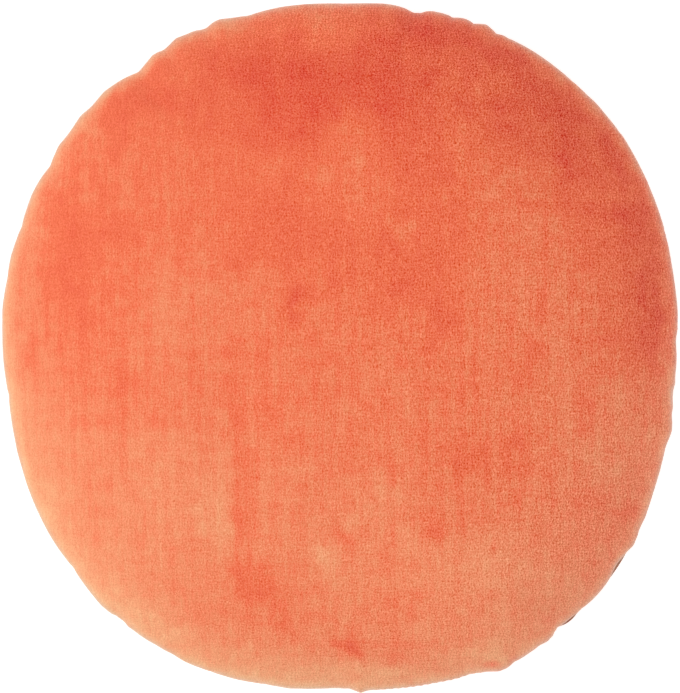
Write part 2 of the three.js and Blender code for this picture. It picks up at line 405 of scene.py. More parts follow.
NAP_DABS = (  # smaller ones: middle x and y, reach along x and y, and strength
    # at the top
    (-97, 230, 6, 7, 0.35),
    (-78, 230, 18, 7, 0.2),
    (-20, 217, 5, 5, 0.4),
    (-23, 190, 5, 11, 0.35),
    (-35, 195, 3, 6, -0.3),
    (-3, 216, 5, 6, -0.3),
    (5, 190, 9, 13, -0.3),
    (12, 232, 4, 7, 0.3),
    (-78, 202, 10, 4, -0.35),
    (-70, 192, 5, 5, 0.25),
    (-55, 203, 5, 4, -0.2),
    (-70, 169, 4, 9, 0.25),
    (-83, 173, 6, 4, 0.25),
    (-76, 153, 4, 5, -0.3),
    (-5, 168, 6, 5, -0.3),
    (-40, 161, 6, 6, 0.25),
    (-120, 179, 6, 5, -0.4),
    (-113, 167, 5, 8, -0.25),
    (-118, 193, 7, 3, 0.2),
    (-145, 192, 6, 4, 0.25),
    (-40, 130, 5, 6, 0.2),
    (-37, 142, 4, 5, -0.2),
    (25, 160, 16, 14, -0.12),
    (22, 202, 5, 5, -0.25),
    (-103, 173, 4, 5, 0.2),
    (40, 220, 4, 7, -0.2),
    (-162, 160, 4, 5, -0.3),
    (-152, 170, 3, 4, -0.2),
    (-82, 238, 22, 9, 0.4),
    (0, 162, 18, 12, -0.14),
    (-54, 155, 10, 5, 0.18),
    (-38, 167, 8, 6, -0.15),
    (-10, 207, 8, 4, 0.2),
    (30, 240, 7, 3, 0.2),
    (42, 233, 6, 3, 0.2),
    (40, 244, 8, 3, -0.2),
    (50, 230, 5, 4, -0.2),
    (-120, 202, 22, 14, 0.15),
    # at the upper right
    (105, 187, 6, 6, 0.65),
    (88, 183, 6, 10, -0.4),
    (93, 196, 4, 5, -0.35),
    (66, 195, 8, 5, -0.4),
    (80, 197, 4, 5, 0.25),
    (60, 208, 6, 4, 0.25),
    (97, 215, 12, 9, -0.3),
    (53, 230, 6, 5, -0.3),
    (66, 221, 4, 5, -0.3),
    (88, 231, 7, 4, 0.25),
    (128, 205, 9, 4, 0.3),
    (133, 194, 8, 3, -0.45),
    (155, 185, 4, 6, 0.4),
    (158, 163, 5, 5, 0.35),
    (178, 176, 6, 5, -0.35),
    (188, 166, 6, 5, -0.35),
    (177, 155, 4, 3, -0.4),
    (168, 147, 7, 4, 0.3),
    (172, 133, 4, 9, 0.35),
    (160, 137, 6, 5, -0.35),
    (145, 142, 7, 4, -0.25),
    (146, 168, 4, 5, -0.25),
    (188, 141, 4, 5, -0.25),
    (213, 129, 6, 4, 0.3),
    (221, 121, 4, 4, 0.2),
    (195, 124, 4, 4, 0.25),
    (185, 107, 5, 3, 0.2),
    (170, 113, 6, 5, 0.15),
    (222, 107, 4, 5, 0.3),
    (230, 81, 4, 4, 0.2),
    (192, 91, 6, 3, -0.2),
    (174, 88, 3, 4, -0.2),
    (67, 165, 5, 5, 0.25),
    (60, 153, 3, 8, -0.2),
    (54, 128, 5, 4, -0.25),
    (87, 112, 5, 10, 0.2),
    (118, 103, 14, 9, -0.2),
    (103, 186, 4, 6, 0.35),
    (88, 182, 4, 6, -0.3),
    (65, 208, 5, 5, 0.25),
    (65, 193, 6, 4, -0.25),
    (133, 193, 7, 5, -0.25),
    (156, 182, 5, 4, 0.25),
    (156, 163, 5, 5, 0.25),
    (168, 147, 5, 5, 0.25),
    (173, 133, 5, 5, 0.25),
    (180, 168, 6, 6, -0.25),
    (176, 154, 5, 4, -0.25),
    (160, 137, 5, 6, -0.25),
    (205, 160, 16, 14, -0.2),
    (68, 243, 12, 3, 0.2),
    (57, 206, 7, 6, 0.2),
    (82, 182, 6, 5, -0.2),
    (100, 203, 10, 5, -0.2),
    (107, 187, 6, 7, 0.2),
    (157, 182, 9, 8, 0.15),
    (187, 168, 7, 9, -0.2),
    (204, 152, 6, 7, -0.15),
    (150, 141, 14, 4, -0.18),
    (225, 94, 5, 6, -0.2),
    (157, 143, 4, 22, 0.12),
    (188, 127, 22, 4, -0.12),
    (190, 113, 22, 5, 0.1),
    (214, 98, 20, 6, -0.15),
    (188, 160, 15, 4, -0.12),
    (122, 160, 14, 44, -0.1),
    # at the left
    (-206, 110, 5, 12, 0.3),
    (-216, 103, 8, 12, 0.12),
    (-187, 79, 8, 4, 0.3),
    (-168, 88, 9, 3, 0.25),
    (-192, 38, 4, 6, 0.25),
    (-195, 58, 3, 9, -0.2),
    (-226, 50, 7, 8, -0.2),
    (-181, 33, 4, 4, -0.2),
    (-247, -40, 4, 25, 0.5),
    (-200, 120, 20, 18, 0.16),
    (-222, -40, 26, 18, 0.14),
    (-139, -72, 6, 6, 0.15),
    (-225, -34, 7, 26, -0.14),
    (-241, -50, 5, 16, 0.15),
    # in the middle
    (45, 68, 4, 6, 0.25),
    (32, 71, 8, 4, -0.2),
    (30, 38, 9, 5, 0.15),
    (65, 23, 6, 5, -0.2),
    (-35, 41, 3, 6, -0.25),
    (-28, 42, 3, 5, 0.25),
    (-40, 30, 3, 5, 0.25),
    (-33, 22, 4, 3, -0.25),
    (-12, 80, 5, 5, -0.2),
    (-50, 79, 4, 5, 0.2),
    (25, -32, 4, 9, -0.15),
    (88, -41, 7, 4, -0.15),
    (-35, -72, 14, 14, -0.1),
    (-19, -43, 4, 5, 0.2),
    (-40, -40, 22, 20, -0.14),
    (-34, 38, 3, 7, -0.25),
    (-32, 23, 4, 3, -0.2),
    (-40, 25, 4, 8, 0.15),
    (-20, 88, 3, 10, 0.15),
    (8, 66, 3, 9, 0.18),
    (25, 82, 6, 6, 0.18),
    (24, 66, 6, 6, -0.12),
    (-70, 75, 5, 4, 0.15),
    (20, -35, 14, 30, 0.06),
    (-32, 38, 2.5, 6, -0.35),
    (-37, 27, 2.5, 5, -0.35),
    (122, -40, 14, 18, 0.1),
    # at the right
    (230, 35, 4, 22, 0.35),
    (229, 10, 5, 9, 0.25),
    (235, -4, 4, 6, -0.3),
    (228, -62, 9, 8, 0.25),
    (200, -37, 5, 9, 0.2),
    (187, -40, 6, 4, 0.15),
    (174, -70, 3, 5, 0.25),
    (228, 38, 3, 9, 0.25),
    (237, 32, 3, 9, -0.25),
    (233, -5, 5, 9, -0.2),
    (240, 20, 6, 26, -0.2),
    (160, -40, 26, 44, 0.14),
    (229, 46, 5, 14, 0.2),
    (160, 20, 12, 40, 0.08),
    (201, 40, 12, 14, -0.1),
    # at the lower left
    (-95, -110, 8, 8, -0.3),
    (-80, -95, 3, 5, -0.3),
    (-103, -84, 5, 7, 0.2),
    (-135, -137, 9, 5, 0.2),
    (-153, -110, 6, 5, 0.2),
    (-45, -116, 14, 5, -0.2),
    (-22, -155, 4, 5, -0.3),
    (-18, -170, 4, 5, 0.2),
    (-82, -162, 5, 4, 0.25),
    (-88, -169, 3, 5, -0.25),
    (-125, -215, 13, 7, 0.3),
    (-145, -180, 4, 6, 0.2),
    (-160, -195, 8, 3, 0.2),
    (-25, -212, 12, 7, 0.25),
    (-15, -240, 30, 8, 0.2),
    (-65, -192, 12, 6, 0.12),
    (-60, -222, 60, 14, 0.18),
    (-160, -160, 18, 16, 0.14),
    (-200, -120, 14, 12, -0.12),
    (-82, -92, 3, 12, -0.12),
    (-120, -114, 8, 7, 0.14),
    (-116, -215, 14, 8, 0.12),
    (-112, -158, 24, 16, 0.2),
    (-140, -200, 24, 12, 0.1),
    # at the lower right
    (-9, -160, 4, 6, -0.25),
    (-6, -150, 5, 3, 0.15),
    (6, -136, 5, 5, -0.25),
    (-5, -222, 6, 5, 0.25),
    (22, -232, 7, 8, 0.4),
    (35, -242, 16, 4, 0.3),
    (18, -219, 9, 3, -0.35),
    (50, -219, 4, 5, -0.3),
    (88, -202, 5, 4, -0.25),
    (86, -194, 5, 3, 0.2),
    (68, -198, 5, 4, 0.2),
    (115, -207, 10, 10, 0.22),
    (112, -228, 13, 6, 0.3),
    (97, -103, 7, 6, -0.3),
    (127, -108, 4, 6, -0.3),
    (85, -128, 18, 4, -0.2),
    (75, -143, 3, 5, 0.25),
    (205, -112, 10, 12, 0.22),
    (185, -90, 12, 8, 0.12),
    (169, -167, 4, 4, -0.25),
    (185, -155, 10, 8, 0.12),
    (139, -158, 6, 5, -0.2),
    (60, -180, 5, 5, -0.2),
    (78, -180, 4, 3, -0.25),
    (119, -171, 4, 6, -0.2),
    (113, -237, 5, 2.5, -0.9),
    (118, -233, 6, 3, 0.3),
    (17, -246, 8, 4, -0.3),
    (80, -120, 18, 16, -0.14),
    (88, -89, 4, 7, 0.2),
    (105, -80, 6, 3, 0.15),
    (112, -186, 4, 4, 0.15),
    (38, -244, 16, 4, 0.25),
    (42, -233, 6, 5, -0.3),
    (0, -220, 9, 3.5, -0.3),
    (30, -221, 20, 4, -0.18),
    (92, -230, 12, 7, 0.2),
    (205, -118, 30, 34, 0.1),
    (71, -134, 7, 6, -0.25),
    (0, -133, 3, 5, -0.15),
    (122, -122, 12, 16, -0.1),
    # along the edges of the long stroke
    (-75, -90, 2.5, 80, -0.15),
    (-82, -85, 4, 85, 0.12),
    (-73, -105, 5, 34, 0.12),
    (-88, -130, 3, 60, 0.1),
    # thin streaks
    (168, 140, 6, 24, -0.15),
    (170, 106, 48, 2, -0.28),
    (178, 79, 34, 2, -0.22),
    (190, 69, 28, 2, -0.22),
    (213, 6, 24, 2.5, -0.28),
    (-155, -55, 75, 5, -0.12),
    (-155, -67, 75, 6, 0.12),
)
SEEN_LARGER = 1.015  # how much larger the crown looks from above, for its height
RIM_PAINTED_LIGHT = (  # painted light and sheen along the rim, brightest towards the lower left: angle, half width in degrees (400 is all round), reach inwards, and strength
    (200, 75, 34, 0.45),
    (205, 80, 11, 0.6),
    (135, 30, 9, 0.5),
    (260, 30, 26, 0.35),
    (20, 400, 5, 0.45),
    (12, 24, 7, -0.3),
)
SLOW_SWING = 3  # how far the marks' edges waver
QUICK_SWING = 2
BENDING = 2  # in radians, of the slow waves
WAVES_ALONG_X = (7, 31, 3.1, 23)  # lengths over 2 pi: slow, its bending, quick, its drift
WAVES_ALONG_Y = (6, 29, 2.7, 19)
EVEN_NAP = 0.1  # what the whole cushion has before the marks
UNDER_NAP = 0.4  # the share of the marks' strength that the back panel has, in other places
SLIVER_SHADE = 0.7  # the painted shadow on the slivers, as the share of light that the pile loses there
SLIVER_DARK_SPREAD = 2  # how many of their half lengths are painted dark
SHADE_PLACES = (  # painted shade where less light falls, and painted light where the share is below 0: middle x and y, reach along x and y, and the share of light that is lost
    (165, 165, 70, 50, 0.06),
    (228, 60, 26, 80, 0.06),
    (-235, 0, 25, 150, 0.03),
    (175, -185, 45, 30, 0.04),
    (-20, 232, 60, 16, -0.05),
    (30, 130, 130, 60, -0.02),
    (60, -175, 50, 40, -0.03),
    (208, -118, 30, 40, 0.035),
)
RIM_SHADE = 0.14  # the same share along the rim, as painted shade in the seam's fold
RIM_SHADE_REACH = 17.5  # from the seam
# Painted sheen, which pales the front panel in a band along the rim and as a faint haze further in:
# angle, half width in degrees (4000 is all round), how far inwards from the seam, reach, strength and
# edge
PAINTED_SHEEN = (
    (0, 4000, 10.5, 7.5, 0.4, SOFT),
    (-38, 34, 0, 90, 0.045, SOFT),
    (15, 50, 0, 110, 0.015, SOFT),
    (10, 35, 0, 26, 0.015, SOFT),
    (-95, 38, 0, 45, 0.02, SOFT),
)
# the painted sheen's pale colour
PAINTED_SHEEN_COLOUR = (0.6, 0.46, 0.43, 1)
PILE_COLOURS = (  # from brushed up to laid flat
    (0.0, (0.70, 0.06, 0.037)),
    (0.5, (0.83, 0.165, 0.076)),
    (1.0, (0.86, 0.46, 0.235)),
)
RAMP_MIDDLE = 0.5  # the place among the pile's colours of a nap of 0
RAMP_SHARE = 0.25  # and how far a nap of 1 is from it
COARSENESS = 1.0  # of the tufts in the middle
COARSER_RIGHT = 0.0019  # for each millimetre to the right
COARSER_PLACES = (  # middle x and y, reach along x and y, and how much more
    (0, 250, 120, 40, 0.4),
    (110, 200, 70, 40, 0.3),
    (0, -250, 110, 30, 0.12),
    (175, -125, 60, 60, 0.15),
)
GRAIN_SHADE = 0.30  # how far a tuft darkens or lightens the colour
GRAIN_GLINT = (0.145, 0.172, 0.139)  # the light that it adds or takes, in red, green and blue
GRAIN_NAP = 0.22  # and how far it stands up or lies down
TUFTS = (  # noises: their cells in a metre along x, y and z, their detail and their weight
    ((1400, 700, 1400), 3.0, 0.86),
)
ROWS = (  # of tufts: the axis across them, how many in a metre, and their weight
    ("X", 430, 0.08),
    ("Y", 520, 0.058),
)
ROW_WAVER = (  # how the rows wander, as in TUFTS
    ((130, 170, 130), 1.0, 9.0),
)
CLOUDS = (  # the nap's unevenness, as in TUFTS
    ((600, 28, 200), 2.0, 0.3),
    ((20, 350, 100), 2.0, 0.18),
    ((180, 9, 60), 2.0, 0.36),
    ((420, 200, 420), 2.0, 0.09),
    ((110, 85, 90), 2.0, 0.42),
)
MIX_FIRST, MIX_SECOND, MIX_RESULT = 6, 7, 2  # the sockets of a mix of two colours
GLOSS = {
    "Roughness": 0.9,
    "Specular IOR Level": 0.15,
    "Sheen Weight": 1.0,
    "Sheen Roughness": 0.25,
    "Sheen Tint": (1.0, 0.88, 0.72, 1),
}
RELIEF = {"Strength": 0.4, "Distance": 0.0006}  # the distance in metres

# The floor and the light
FLOOR_REACH = 3000
FLOOR = {
    "Base Color": (0.9, 0.9, 0.9, 1),
    "Roughness": 1.0,
    "Emission Color": (1, 1, 1, 1),
    "Emission Strength": 0.45,
}
SURROUND_LIGHT = 0.6
LIGHTS = (  # name, place and side in metres, and power in watts
    ("key", (-2.18, 0, 1.5), 1.6, 23.6),
    ("fill", (2.1, -0.7, 0.5), 1.2, 1.7),
    ("overhead", (0.4, -0.1, 2.8), 2.0, 24.8),
)

# The camera
EYE_HEIGHT = 2600  # above the seam
VIEW_LENGTH = 515.1  # what the long side of the view takes in, at the seam
EYE_OFFSET = 0.8  # of the camera from the middle, towards the top of the face


def bump(distance, half, power):
    """1 in the middle, falling to nothing past the half width."""
    return np.exp(-np.abs(np.asarray(distance) / half) ** power)


def lobe_swell(lobes, angle):
    return sum(swell * np.cos(np.radians(count * (angle - at))) for count, swell, at in lobes)


def around(angle, at):
    """How far an angle is from another, the short way round."""
    return (angle - at + 180) % 360 - 180


def pucker_swell(angle, puckers=PUCKERS):
    return sum(swell * bump(around(angle, at), half, CREASED) for at, swell, half in puckers)


def prick_swell(angle):
    at, half, spacing, depth = PRICKS
    pricks = np.abs(np.cos(np.pi * angle / spacing)) ** PRICK_NARROWNESS
    return -depth * pricks * bump(around(angle, at), half, FIRM)


def direction(out, up):
    length = np.hypot(out, up)
    return out / length, up / length


def crown_section(turn, radius):
    """The face's smooth section: how far out, how far above the seam, and its outward direction."""
    reach = np.sin(turn) ** (2 / CROWN_FULLNESS)
    rise = np.cos(turn)
    slope = CROWN_FULLNESS / radius * reach ** (CROWN_FULLNESS - 1)
    return radius * reach, CROWN_HEIGHT * rise, direction(slope, 2 / CROWN_HEIGHT * rise)


def under_section(turn, radius):
    """The same underneath: a quarter of an ellipse, from the flat spot to the seam."""
    spread = radius - UNDER_INSET - REST_RADIUS
    reach = np.sin(turn)
    fall = np.cos(turn)
    outward = direction(reach / spread, -fall / SEAM_HEIGHT)
    return REST_RADIUS + spread * reach, -SEAM_HEIGHT * fall, outward


def surface(angle, turn, is_under):
    """Points of the puckered, unwrinkled cushion, one for each angle in degrees."""
    radius = MEAN_RADIUS + lobe_swell(LOBES, angle)
    out, up, normal = (under_section if is_under else crown_section)(turn, radius)
    near_rim = np.sin(turn)
    swell = near_rim * pucker_swell(angle) * bump(np.hypot(radius - out, up), PUCKER_REACH, SOFT)
    out = out + normal[0] * swell - SEAM_DRAW * bump(up, SEAM_LIP, CREASED)
    x = out * np.cos(np.radians(angle))
    y = out * np.sin(np.radians(angle))
    seam = SEAM_HEIGHT + lobe_swell(SEAM_WANDER, angle) * near_rim
    z = seam + up + normal[1] * swell
    if not is_under:
        for hollow_x, hollow_y, reach_x, reach_y, depth in HOLLOWS:
            away = np.hypot((x - hollow_x) / reach_x, (y - hollow_y) / reach_y)
            z = z - depth * bump(away, 1, SOFT) * np.cos(turn)
    return np.column_stack([x, y, np.maximum(z, 0)])


def polar(out, angle, z):
    """Points at distances from the middle, angles in degrees and heights."""
    return np.column_stack([out * np.cos(np.radians(angle)), out * np.sin(np.radians(angle)), z])


def cubic(rows, place, is_round):
    """Rows read smoothly at fractional places, from the two on either side of each."""
    start = np.floor(place).astype(int)
    t = (place - start).reshape(-1, *[1] * (rows.ndim - 1))
    weights = (
        (-t + 2 * t**2 - t**3) / 2,
        (2 - 5 * t**2 + 3 * t**3) / 2,
        (t + 4 * t**2 - 3 * t**3) / 2,
        (-(t**2) + t**3) / 2,
    )
    total = 0
    for offset, weight in zip((-1, 0, 1, 2), weights):
        at = start + offset
        at = at % len(rows) if is_round else np.clip(at, 0, len(rows) - 1)
        total = total + weight * rows[at]
    return total


def section_lengths(is_under):
    """Lengths along a panel from its middle, and the turn that each is reached at."""
    turn = np.linspace(0, math.pi / 2, SECTION_STEPS)
    out, up, _ = (under_section if is_under else crown_section)(turn, MEAN_RADIUS)
    steps = np.hypot(np.diff(out), np.diff(up))
    start = REST_RADIUS if is_under else 0
    return start + np.concatenate([[0], np.cumsum(steps)]), turn


SECTIONS = {is_under: section_lengths(is_under) for is_under in (False, True)}


def panel_length(is_under):
    """From a panel's middle to the seam, along its section."""
    return SECTIONS[is_under][0][-1]


def panel_ring(angle, along, is_under):
    """Points of the filled, unwrinkled cushion at a length along one of its panels."""
    if is_under and along <= REST_RADIUS:
        return polar(along, angle, np.zeros(len(angle)))
    lengths, turns = SECTIONS[is_under]
    return surface(angle, np.interp(along, lengths, turns), is_under)


class Panels:
    """The two panels' points, both filled and cut flat, and their faces."""

    def __init__(self, layout, wrinkles=None):
        self.layout = layout
        self.wrinkles = wrinkles
        self.filled = []
        self.flat = []
        self.faces = []
        self.from_seam = []  # of each point, how far it lies from the seam along its panel
        self.is_under = []
        self.rings = {False: [], True: []}  # of each panel: a ring's length from the middle, its places
        self.seam = self.add_ring(layout.rim_points, panel_length(False), False, apart=0)
        self.add_panel(False)
        self.add_panel(True)

    def add_ring(self, count, along, is_under, apart):
        """A ring of points at a length along the panel, as places in the lists."""
        angle = np.arange(count) * 360 / count
        ring = panel_ring(angle, along, is_under)
        if self.wrinkles:
            ring = ring + self.wrinkles.at(angle, along, is_under)
        share = along / panel_length(is_under)
        cut = CUT_RADIUS * share * (1 + share * lobe_swell(LOBES, angle) / MEAN_RADIUS)
        height = np.full(count, SEAM_HEIGHT + apart)
        start = len(self.filled)
        self.filled.extend(ring)
        self.flat.extend(polar(cut, angle, height))
        self.from_seam.extend([panel_length(is_under) - along] * count)
        self.is_under.extend([is_under] * count)
        return list(range(start, start + count))

    def add_face(self, corners, is_under):
        self.faces.append(corners[::-1] if is_under else corners)

    def stitch(self, inner, outer, is_under):
        """Faces between two rings. The outer one has as many points, or twice as many."""
        share = len(outer) // len(inner)
        for step, near in enumerate(inner):
            near_next = inner[(step + 1) % len(inner)]
            far = [outer[(step * share + k) % len(outer)] for k in range(share + 1)]
            if share == 1:
                self.add_face([near, far[0], far[1], near_next], is_under)
            else:
                self.add_face([near, far[0], far[1]], is_under)
                self.add_face([near, far[1], near_next], is_under)
                self.add_face([near_next, far[1], far[2]], is_under)

    def ring_lengths(self, is_under):
        """How far along the panel each ring is, without the middle point and the seam."""
        total = panel_length(is_under)
        step = self.layout.under_step if is_under else self.layout.face_step
        inner = np.linspace(0, total - SEAM_ZONE, round((total - SEAM_ZONE) / step) + 1)
        near_seam = np.linspace(total - SEAM_ZONE, total, round(SEAM_ZONE / self.layout.seam_step) + 1)
        return [*inner[1:], *near_seam[1:-1]]

    def add_panel(self, is_under):
        """One panel, from its middle point out to the seam's ring."""
        rings = self.rings[is_under]
        apart = -CUT_APART if is_under else CUT_APART
        rings.append((0, self.add_ring(1, 0, is_under, apart)))
        for along in self.ring_lengths(is_under):
            count = self.layout.rim_points
            for share in self.layout.coarser_inside:
                count = count // 2 if along < share * panel_length(is_under) else count
            rings.append((along, self.add_ring(count, along, is_under, apart)))
        rings.append((panel_length(is_under), self.seam))
        (middle,) = rings[0][1]
        first = rings[1][1]
        for place, place_next in zip(first, first[1:] + first[:1]):
            self.add_face([middle, place, place_next], is_under)
        for (_, inner), (_, outer) in zip(rings[1:], rings[2:]):
            self.stitch(inner, outer, is_under)


class Wrinkles:
    """How far the trial's cloth moved, as smooth functions of the place on a panel."""

    def __init__(self, panels, moved):
        self.lengths = {}
        self.moved = {}
        steps = np.arange(panels.layout.rim_points)
        for is_under, rings in panels.rings.items():
            self.lengths[is_under] = [along for along, _ in rings]
            rows = [
                cubic(moved[places], steps * len(places) / len(steps), is_round=True)
                for _, places in rings
            ]
            self.moved[is_under] = np.array(rows)

    def at(self, angle, along, is_under):
        """The movement on a ring, weaker on the face away from the seam."""
        lengths = self.lengths[is_under]
        place = np.interp(along, lengths, np.arange(len(lengths)))
        row = cubic(self.moved[is_under], np.array([place]), is_round=False)[0]
        moved = cubic(row, angle * len(row) / 360, is_round=True)
        from_seam = panel_length(is_under) - along
        fade = FACE_WRINKLES + (1 - FACE_WRINKLES) * bump(from_seam, FACE_WRINKLE_REACH, SOFT)
        return moved * (1 if is_under else fade)


def mesh_object(name, points, faces):
    """An object made of points in millimetres."""
    mesh = bpy.data.meshes.new(name)
    mesh.from_pydata([tuple(point) for point in np.asarray(points) * MM], [], faces)
    made = bpy.data.objects.new(name, mesh)
    bpy.context.scene.collection.objects.link(made)
    return made


def points_of(mesh):
    """A mesh's points, in millimetres."""
    flat = np.empty(len(mesh.vertices) * 3, np.float32)
    mesh.vertices.foreach_get("co", flat)
    return flat.reshape(-1, 3).astype(float) / MM


def simulated(panels):
    """The panels' points once the cloth, cut flat, has been filled for a few frames."""
    cloth = mesh_object("filling_trial", panels.filled, panels.faces)
    cloth.shape_key_add(name="filled")
    cut = cloth.shape_key_add(name="cut")
    for point, flat in zip(cut.data, panels.flat):
        point.co = flat * MM
    modifier = cloth.modifiers.new("cloth", "CLOTH")
    modifier.point_cache.frame_start = 1
    modifier.point_cache.frame_end = FRAMES
    modifier.settings.rest_shape_key = cut
    for name, value in CLOTH.items():
        setattr(modifier.settings, name, value)
    modifier.settings.effector_weights.gravity = 0
    for number in range(1, FRAMES + 1):
        bpy.context.scene.frame_set(number)
    shown = cloth.evaluated_get(bpy.context.evaluated_depsgraph_get())
    points = points_of(shown.to_mesh())
    shown.to_mesh_clear()
    bpy.data.objects.remove(cloth)
    bpy.context.scene.frame_set(1)
    return points


def smoothed(values, pairs, rounds):
    """Values at the points, averaged with their neighbours' again and again."""
    count = len(values)
    neighbours = np.bincount(pairs.ravel(), minlength=count)[:, None]
    for _ in range(rounds):
        total = np.column_stack(
            [
                np.bincount(pairs[:, 0], column[pairs[:, 1]], count)
                + np.bincount(pairs[:, 1], column[pairs[:, 0]], count)
                for column in values.T
            ]
        )
        values = 0.5 * values + 0.5 * total / neighbours
    return values


def edge_pairs(mesh):
    flat = np.empty(len(mesh.edges) * 2, np.int32)
    mesh.edges.foreach_get("vertices", flat)
    return flat.reshape(-1, 2)


def trial_wrinkles():
    """The wrinkles that filling gives the sewn panels, none deeper than the cap."""
    panels = Panels(TRIAL)
    moved = simulated(panels) - np.array(panels.filled)
    form = mesh_object("filled_form", panels.filled, panels.faces)
    wrinkles = moved - smoothed(moved, edge_pairs(form.data), FORM_ROUNDS)
    bpy.data.objects.remove(form)
    depth = np.linalg.norm(wrinkles, axis=1, keepdims=True)
    wrinkles *= WRINKLE_CAP * np.tanh(depth / WRINKLE_CAP) / np.maximum(depth, NO_DEPTH)
    return Wrinkles(panels, wrinkles)


def angle_and_reach(points):
    """Each point's angle in degrees, and how far out it is."""
    angle = np.degrees(np.arctan2(points[:, 1], points[:, 0])) % 360
    return angle, np.hypot(points[:, 0], points[:, 1])


def outline(angle):
    """How far out the solid's rim is."""
    return MEAN_RADIUS + lobe_swell(LOBES, angle) + pucker_swell(angle)


def cloth_outline(angle):
    """How far out the cloth's rim is: the solid's, with the nicks and the pricks."""
    return outline(angle) + pucker_swell(angle, NICKS) + prick_swell(angle)


def fit_outline(panels, points):
    """Draws the rim in or out, so that the front panel's outline from above is the wanted one."""
    widest = np.zeros(len(GRID))
    for _, places in panels.rings[False]:
        if len(places) == len(panels.seam):
            angle, reach = angle_and_reach(points[places])
            widest = np.maximum(widest, np.interp(GRID, angle, reach, period=360))
    drawn_in = sum(width * bump(around(GRID, at), half, SOFT) for at, width, half in SLIVERS)
    angle, reach = angle_and_reach(points)
    ratio = np.interp(angle, GRID, (cloth_outline(GRID) - drawn_in) / widest, period=360)
    weight = np.clip((reach / MEAN_RADIUS - FIT_FROM) / (FIT_FULLY - FIT_FROM), 0, 1)
    points[:, :2] *= (1 + (ratio - 1) * weight)[:, None]
    return points


def sliver_share(panels, points, spread):
    """How much of a sliver each point of the back panel makes, from 0 to 1."""
    angle, _ = angle_and_reach(points)
    share = sum(bump(around(angle, at), half * spread, FIRM) for at, _, half in SLIVERS)
    middle = SLIVER_REACH / 2
    return share * np.array(panels.is_under) * bump(np.array(panels.from_seam) - middle, middle, SOFT)


def draw_out_slivers(panels, points):
    """Draws the back panel out to the outline, as it is seen from the camera's height."""
    angle, reach = angle_and_reach(points)
    below_limb = LIMB_RISE + SEAM_HEIGHT - points[:, 2]
    seen = cloth_outline(angle) * (1 + below_limb / EYE_HEIGHT)
    further = sliver_share(panels, points, SLIVER_SPREAD) * (seen - reach)
    points[:, :2] *= (1 + further / np.maximum(reach, LEAST_REACH))[:, None]
    return points


def fit_box(points):
    """Centres the cushion in the solid's box, and makes its outline as wide and as long."""
    low, high = (np.array(corner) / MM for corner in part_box("cushion"))
    rim = polar(outline(GRID), GRID, np.zeros(len(GRID)))
    for axis in (0, 1):
        least, most = rim[:, axis].min(), rim[:, axis].max()
        share = (points[:, axis] - least) / (most - least)
        points[:, axis] = low[axis] + share * (high[axis] - low[axis])
    points[:, 2] = np.maximum(points[:, 2], 0)
    return points


def make_cushion():
    panels = Panels(SHOWN, trial_wrinkles())
    points = np.array(panels.filled)
    for _ in range(OUTLINE_ROUNDS):
        points = fit_outline(panels, points)
    points = draw_out_slivers(panels, points)
    cushion = mesh_object("velvet_cushion", fit_box(points), panels.faces)
    cushion.data.polygons.foreach_set("use_smooth", [True] * len(cushion.data.polygons))
    paint(cushion, "nap_and_rim_light", nap_and_rim_light(panels, points))
    paint(cushion, "shade", shade(panels, points))
    paint(cushion, "painted_sheen_share", painted_sheen_share(panels, points))
    paint(cushion, "coarseness", coarseness(points))
    return cushion


class Nodes:
    """A short way to write a material's nodes."""

    def __init__(self, material):
        material.use_nodes = True
        self.tree = material.node_tree
        self.shader = self.tree.nodes["Principled BSDF"]

    def add(self, kind, inputs=None, **settings):
        node = self.tree.nodes.new("ShaderNode" + kind)
        for name, value in settings.items():
            setattr(node, name, value)
        self.set_all(node, inputs or {})
        return node

    def set_all(self, node, inputs):
        for name, value in inputs.items():
            self.set(node.inputs[name], value)

    def set(self, socket, value):
        if isinstance(value, bpy.types.NodeSocket):
            self.tree.links.new(value, socket)
        else:
            socket.default_value = value

    def math(self, operation, *values):
        return self.add("Math", dict(enumerate(values)), operation=operation).outputs[0]


def wavered(along, across, waves):
    """A place that is moved along by slow and quick waves, which run across."""
    slow, bend, quick, drift = waves
    slow_wave = SLOW_SWING * np.sin(across / slow + BENDING * np.sin(along / bend))
    return along + slow_wave + QUICK_SWING * np.sin(across / quick + along / drift)


def marked(points):
    """The marks' nap at each point, with wavering edges."""
    x = wavered(points[:, 0], points[:, 1], WAVES_ALONG_X)
    y = wavered(points[:, 1], points[:, 0], WAVES_ALONG_Y)
    lightness = np.zeros(len(points))
    for at_x, at_y, reach_x, reach_y, turn, strength, edge in NAP_MARKS:
        lean = math.radians(turn)
        along = (x - at_x) * math.cos(lean) + (y - at_y) * math.sin(lean)
        across = (y - at_y) * math.cos(lean) - (x - at_x) * math.sin(lean)
        lightness += strength * bump(along, reach_x, edge) * bump(across, reach_y, edge)
    return lightness


def dabbed(points):
    """The small dabs' nap at each point."""
    x, y = points[:, 0] * SEEN_LARGER, points[:, 1] * SEEN_LARGER
    lightness = np.zeros(len(points))
    for at_x, at_y, reach_x, reach_y, strength in NAP_DABS:
        lightness += strength * bump(x - at_x, reach_x, SOFT) * bump(y - at_y, reach_y, SOFT)
    return lightness


def nap_and_rim_light(panels, points):
    """How the pile lies at each point: below 0 it is brushed up and dark, above 0 laid flat. Painted
    light is added along the rim, most towards the lower left.
    """
    front = marked(points) + dabbed(points)
    lightness = EVEN_NAP + np.where(panels.is_under, UNDER_NAP * marked(points[:, ::-1]), front)
    angle, reach = angle_and_reach(points)
    inwards = MEAN_RADIUS + lobe_swell(LOBES, angle) - reach
    # painted light along the rim, where the sheen and the lit side show
    for at, half, depth, strength in RIM_PAINTED_LIGHT:
        share = bump(around(angle, at), half, SOFT)
        lightness += strength * share * bump(np.maximum(inwards, 0), depth, SOFT)
    return lightness


